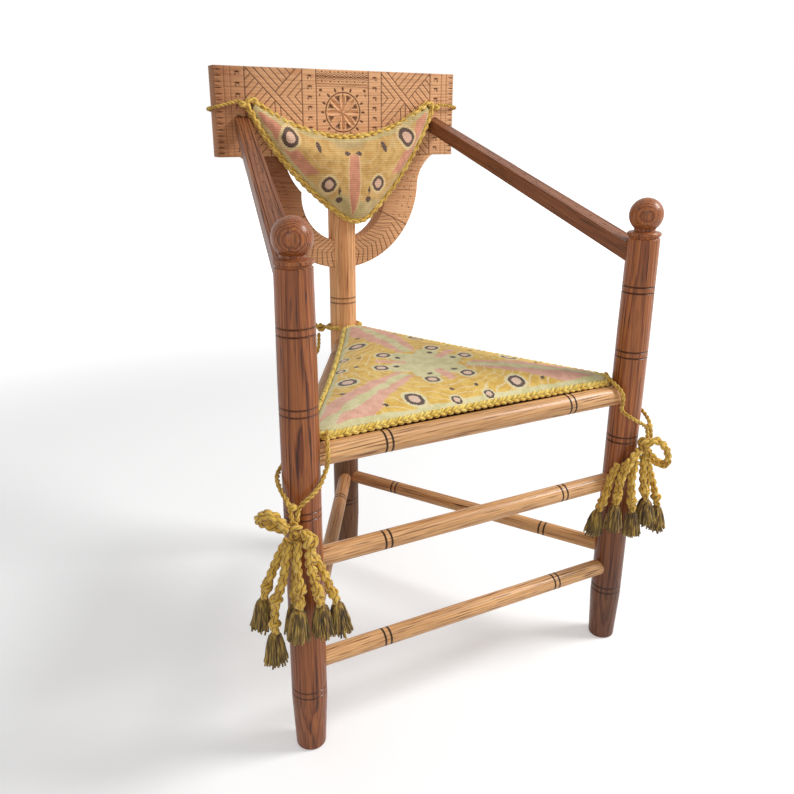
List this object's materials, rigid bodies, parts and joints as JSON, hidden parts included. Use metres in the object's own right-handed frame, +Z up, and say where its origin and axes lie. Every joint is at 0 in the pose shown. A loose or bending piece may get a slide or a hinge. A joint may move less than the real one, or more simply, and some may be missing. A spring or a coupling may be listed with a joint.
{
  "type": "corner chair",
  "caption": "Corner chair of turned oak with a triangular seat, sloping arms and a chip-carved crest board, with needlework cushions tied on by plaited wool cords",
  "frame": {"origin": "bottom centre of the wooden chair and its cushions, where it stands on the floor; the hanging cords are left out", "axes": "+Z up, +Y to the back, +X to the right of someone looking at the front along +Y"},
  "size_m": [0.6311, 0.5319, 0.8465],
  "materials": {
    "post_oak": "satin",
    "rail_oak": "satin",
    "plain_oak": "matte",
    "board_oak": "satin",
    "arm_oak": "gloss",
    "seat_needlework": "matte",
    "lemon_wool": "matte",
    "back_needlework": "matte",
    "mustard_wool": "matte",
    "olive_wool": "matte"
  },
  "bodies": {
    "root": {"front_left_post": "post_oak", "front_right_post": "post_oak", "rear_post": "post_oak", "front_seat_rail": "rail_oak", "left_seat_rail": "rail_oak", "right_seat_rail": "rail_oak", "front_upper_stretcher": "rail_oak", "front_lower_stretcher": "rail_oak", "left_side_stretcher": "rail_oak", "right_side_stretcher": "rail_oak", "seat_board": "plain_oak", "crest_board": "board_oak", "left_back_yoke": "board_oak", "right_back_yoke": "board_oak", "yoke_dowels": "plain_oak", "left_arm": "arm_oak", "right_arm": "arm_oak", "arm_dowels": "plain_oak", "seat_cushion": "seat_needlework", "seat_cushion_piping": "lemon_wool", "back_cushion": "back_needlework", "back_cushion_piping": "mustard_wool", "back_tie_knot": "mustard_wool", "back_tie_left": "mustard_wool", "back_tie_right": "mustard_wool", "left_bow": "mustard_wool", "left_knots": "mustard_wool", "left_plait_1": "mustard_wool", "left_plait_2": "mustard_wool", "left_plait_3": "mustard_wool", "left_plait_4": "mustard_wool", "left_plait_5": "mustard_wool", "left_plait_6": "mustard_wool", "left_tassels": "olive_wool", "left_tie_back": "mustard_wool", "left_tie_front": "mustard_wool", "rear_bow": "mustard_wool", "rear_knot": "mustard_wool", "rear_tie": "mustard_wool", "right_bow": "mustard_wool", "right_knots": "mustard_wool", "right_plait_1": "mustard_wool", "right_plait_2": "mustard_wool", "right_plait_3": "mustard_wool", "right_plait_4": "mustard_wool", "right_plait_5": "mustard_wool", "right_plait_6": "mustard_wool", "right_tassels": "olive_wool", "right_tie_back": "mustard_wool", "right_tie_front": "mustard_wool"}
  },
  "joints": []
}
